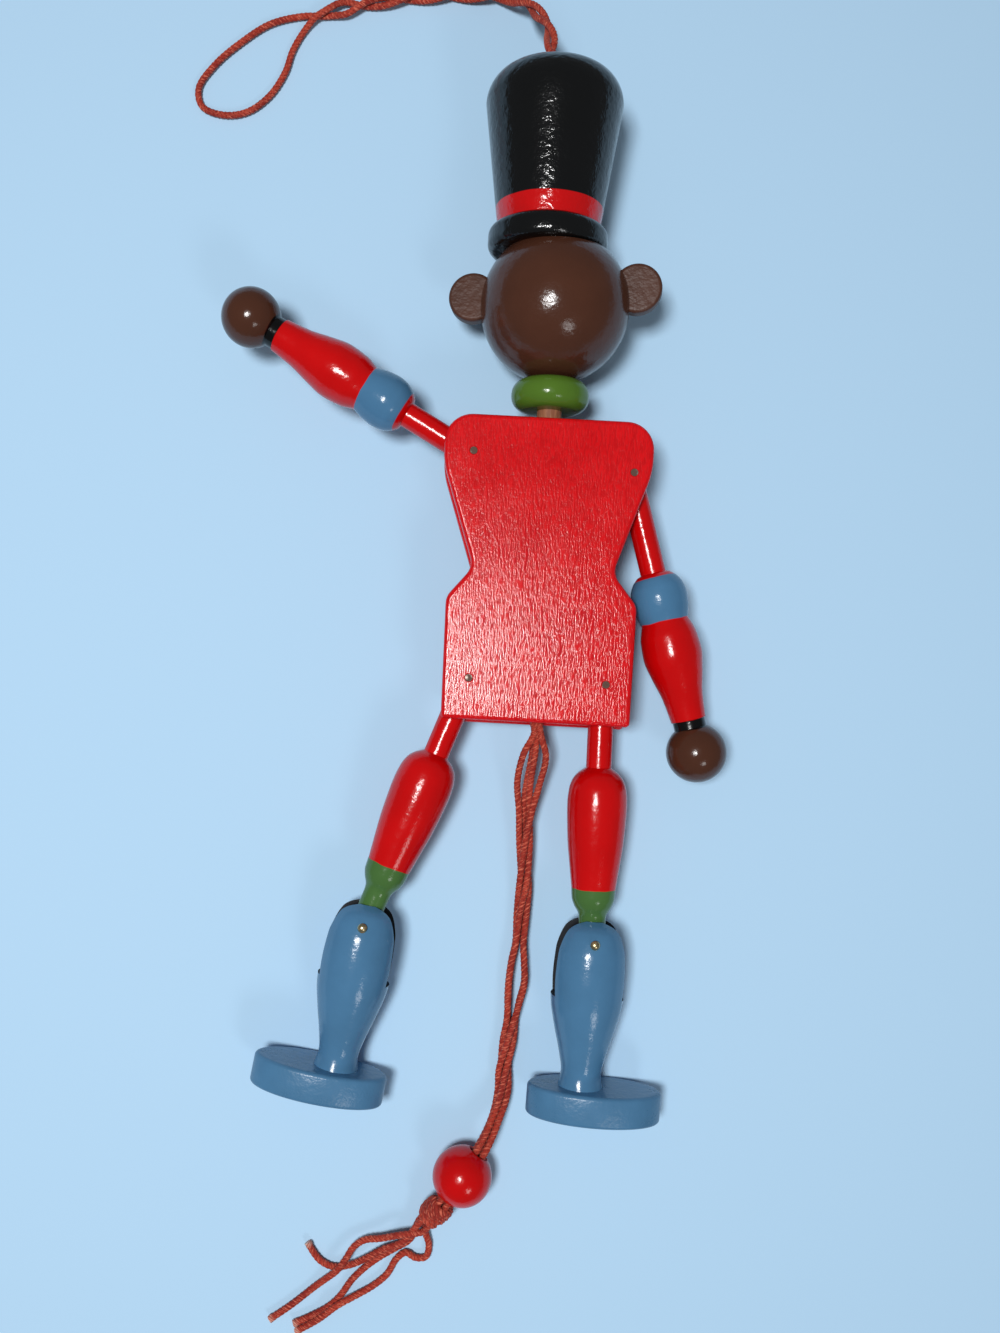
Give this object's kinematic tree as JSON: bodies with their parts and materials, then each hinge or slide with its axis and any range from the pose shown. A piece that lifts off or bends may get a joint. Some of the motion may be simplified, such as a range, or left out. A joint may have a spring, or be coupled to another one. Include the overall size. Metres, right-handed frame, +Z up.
{
  "type": "pull string jumping jack",
  "caption": "Wooden pull string figure: limbs turn on nails between two body boards and lift when the beaded cord below is pulled; hangs by a cord loop from its hat.",
  "frame": {"origin": "on the ground, under the middle of the figure's box without its cords", "axes": "the figure lies on its front: +Y from the feet to the hat, +Z up out of its back, +X to the side of its lowered arm"},
  "size_m": [0.1611, 0.391, 0.0419],
  "materials": {
    "red_paint": "red enamel on wood",
    "black_paint": "black gloss enamel on wood",
    "blue_paint": "blue gloss enamel on wood",
    "green_paint": "green gloss enamel on wood",
    "brown_stain": "brown enamel on wood",
    "bare_wood": "bare dowel",
    "string": "twisted red string",
    "brass": "dull",
    "steel": "dull"
  },
  "bodies": {
    "torso": {"back_board": "red_paint", "front_board": "red_paint", "neck_block": "bare_wood", "neck_dowel": "bare_wood", "collar": "green_paint", "head": "brown_stain", "left_ear": "brown_stain", "right_ear": "brown_stain", "hat": "black_paint", "left_shoulder_nail": "steel", "right_shoulder_nail": "steel", "left_hip_nail": "steel", "right_hip_nail": "steel", "hang_cord": "string", "hang_knot": "string", "left_arm_string": "string", "right_arm_string": "string", "left_leg_string": "string", "right_leg_string": "string"},
    "left_arm": {"left_arm": "red_paint"},
    "right_arm": {"right_arm": "red_paint"},
    "left_thigh": {"left_thigh": "red_paint"},
    "right_thigh": {"right_thigh": "red_paint"},
    "left_shin": {"left_shin": "blue_paint", "left_knee_pin": "brass", "left_foot": "blue_paint"},
    "right_shin": {"right_shin": "blue_paint", "right_knee_pin": "brass", "right_foot": "blue_paint"},
    "pull": {"pull_cord": "string", "pull_bead": "red_paint", "pull_knot": "string", "curled_end": "string", "long_end": "string", "middle_end": "string", "bent_end": "string"}
  },
  "joints": [
    {"name": "right_hip", "type": "hinge", "parent": "torso", "child": "right_thigh", "pos_m": [0.03754, -0.02419, 0.01574], "axis": [0, -0.0462, 0.9989], "range_deg": [0, 64.5], "deforming": ["right_leg_string"]},
    {"name": "left_hip", "type": "hinge", "parent": "torso", "child": "left_thigh", "pos_m": [0.00054, -0.02419, 0.01574], "axis": [0, 0.0462, -0.9989], "range_deg": [-0.5, 45.5], "deforming": ["left_leg_string"]},
    {"name": "left_shoulder", "type": "hinge", "parent": "torso", "child": "left_arm", "pos_m": [-0.00126, 0.03695, 0.01857], "axis": [0, 0.0462, -0.9989], "range_deg": [-0.5, 30.5], "deforming": ["left_arm_string"]},
    {"name": "right_shoulder", "type": "hinge", "parent": "torso", "child": "right_arm", "pos_m": [0.04224, 0.03325, 0.01839], "axis": [0, -0.0462, 0.9989], "range_deg": [-0.5, 132.5], "deforming": ["right_arm_string"]},
    {"name": "pull_slide", "type": "slide", "parent": "torso", "child": "pull", "axis": [0, -1, 0], "range_m": [-0.0001, 0.0101]},
    {"name": "left_knee", "type": "hinge", "parent": "left_thigh", "child": "left_shin", "pos_m": [-0.02443, -0.09271, 0.01258], "axis": [0, 0.0462, -0.9989], "range_deg": [-30, 60]},
    {"name": "right_knee", "type": "hinge", "parent": "right_thigh", "child": "right_shin", "pos_m": [0.03815, -0.09411, 0.01251], "axis": [0, -0.0462, 0.9989], "range_deg": [-4, 42]}
  ],
  "couplings": [
    {"joint": "left_hip", "follows": "right_hip", "ratio": 0.69767},
    {"joint": "left_shoulder", "follows": "right_hip", "ratio": 0.46512},
    {"joint": "right_shoulder", "follows": "right_hip", "ratio": 2.0465},
    {"joint": "pull_slide", "follows": "right_hip", "m_per_rad": 0.0088831}
  ]
}
